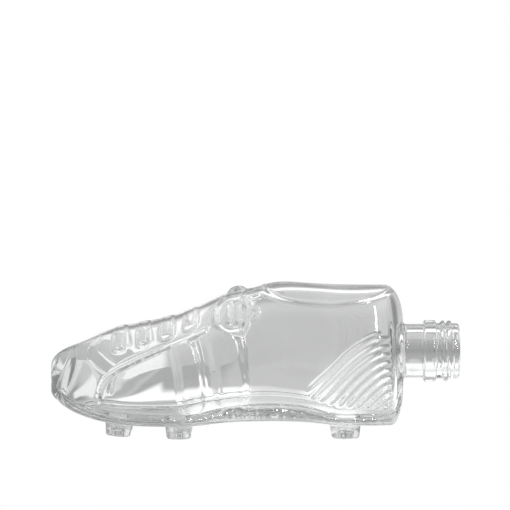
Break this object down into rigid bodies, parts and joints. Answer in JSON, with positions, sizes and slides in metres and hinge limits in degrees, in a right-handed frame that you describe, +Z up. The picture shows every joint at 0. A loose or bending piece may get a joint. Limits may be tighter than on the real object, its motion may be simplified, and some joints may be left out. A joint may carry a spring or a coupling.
{
  "type": "boot-shaped glass bottle",
  "caption": "Clear glass bottle moulded as a laced football boot that stands on studs, with a threaded bottle neck leaving the heel.",
  "frame": {"origin": "on the floor under the middle of the bottle's length", "axes": "+X from the toe to the neck's mouth, +Y to the boot's right side, +Z up"},
  "size_m": [0.1896, 0.0556, 0.0719],
  "materials": {
    "flint_glass": "gloss"
  },
  "bodies": {
    "root": {"body_shell": "flint_glass", "sole_plate": "flint_glass", "toe_stud_left": "flint_glass", "toe_stud_right": "flint_glass", "ball_stud_left": "flint_glass", "ball_stud_right": "flint_glass", "heel_stud_left": "flint_glass", "heel_stud_right": "flint_glass", "neck_tube": "flint_glass", "neck_collar": "flint_glass", "neck_thread": "flint_glass", "toe_cap_seam": "flint_glass", "eyestay_seam_left": "flint_glass", "eyestay_seam_right": "flint_glass", "lace_1": "flint_glass", "lace_2": "flint_glass", "lace_3": "flint_glass", "lace_4": "flint_glass", "eyelets_left": "flint_glass", "eyelets_right": "flint_glass", "bow_knot": "flint_glass", "bow_loop_left": "flint_glass", "bow_loop_right": "flint_glass", "lace_ends_left": "flint_glass", "lace_ends_right": "flint_glass", "small_loop_left": "flint_glass", "small_loop_right": "flint_glass", "front_band_left": "flint_glass", "front_band_right": "flint_glass", "rear_band_left": "flint_glass", "rear_band_right": "flint_glass", "heel_ribs_left": "flint_glass", "heel_ribs_right": "flint_glass", "ankle_rim": "flint_glass"}
  },
  "joints": []
}
